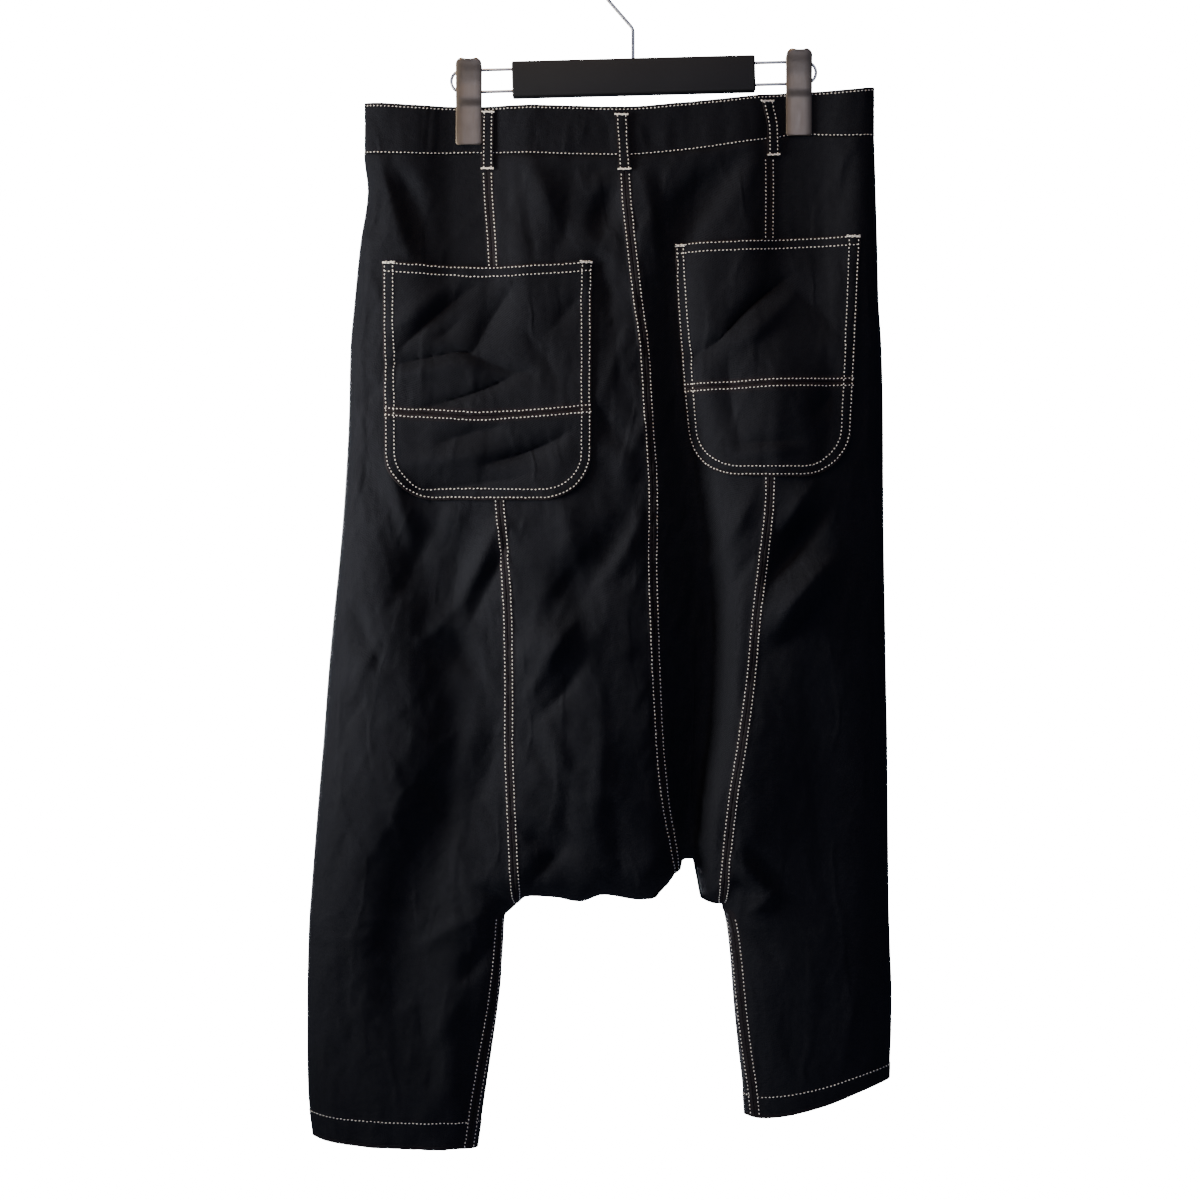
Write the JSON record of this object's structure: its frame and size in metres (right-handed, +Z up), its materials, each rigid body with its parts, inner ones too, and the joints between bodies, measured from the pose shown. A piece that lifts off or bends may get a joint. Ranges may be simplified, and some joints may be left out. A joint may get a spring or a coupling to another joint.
{
  "type": "harem pants on a clip hanger",
  "caption": "Drop-crotch cotton trousers with patch pockets, hung flat by the waistband from a clip hanger.",
  "frame": {"origin": "underside of the hook's crown, where a rail carries the hanger", "axes": "+Z up along the pull of the hook, +X to the right in the view of the trousers' back, +Y from their back to their front"},
  "size_m": [0.4967, 0.0729, 1.0226],
  "materials": {
    "cotton_drill": "matt black cotton drill with a faint sheen, cream twin-needle stitching",
    "cotton_band": "the same drill doubled, cream stitched",
    "button_metal": "dark metal shank button",
    "bar_black": "fine matt black",
    "wire_steel": "bright drawn wire",
    "clip_steel": "satin pewter grey"
  },
  "bodies": {
    "root": {"leg_left": "cotton_drill", "leg_right": "cotton_drill", "seat_back_left": "cotton_drill", "seat_back_right": "cotton_drill", "seat_front_left": "cotton_drill", "seat_front_right": "cotton_drill", "fly_lap": "cotton_drill", "pocket_left_upper": "cotton_drill", "pocket_left_lower": "cotton_drill", "pocket_right_upper": "cotton_drill", "pocket_right_lower": "cotton_drill", "waistband": "cotton_band", "loop_back_left": "cotton_band", "loop_back_centre": "cotton_band", "loop_back_right": "cotton_band", "loop_front_left": "cotton_band", "loop_front_right": "cotton_band", "waist_button": "button_metal", "hanger_bar": "bar_black", "hanger_hook": "wire_steel", "hanger_rail_left": "wire_steel", "hanger_rail_right": "wire_steel", "clip_left_back_jaw": "clip_steel", "clip_left_front_jaw": "clip_steel", "clip_left_saddle": "clip_steel", "clip_right_back_jaw": "clip_steel", "clip_right_front_jaw": "clip_steel", "clip_right_saddle": "clip_steel"}
  },
  "joints": []
}
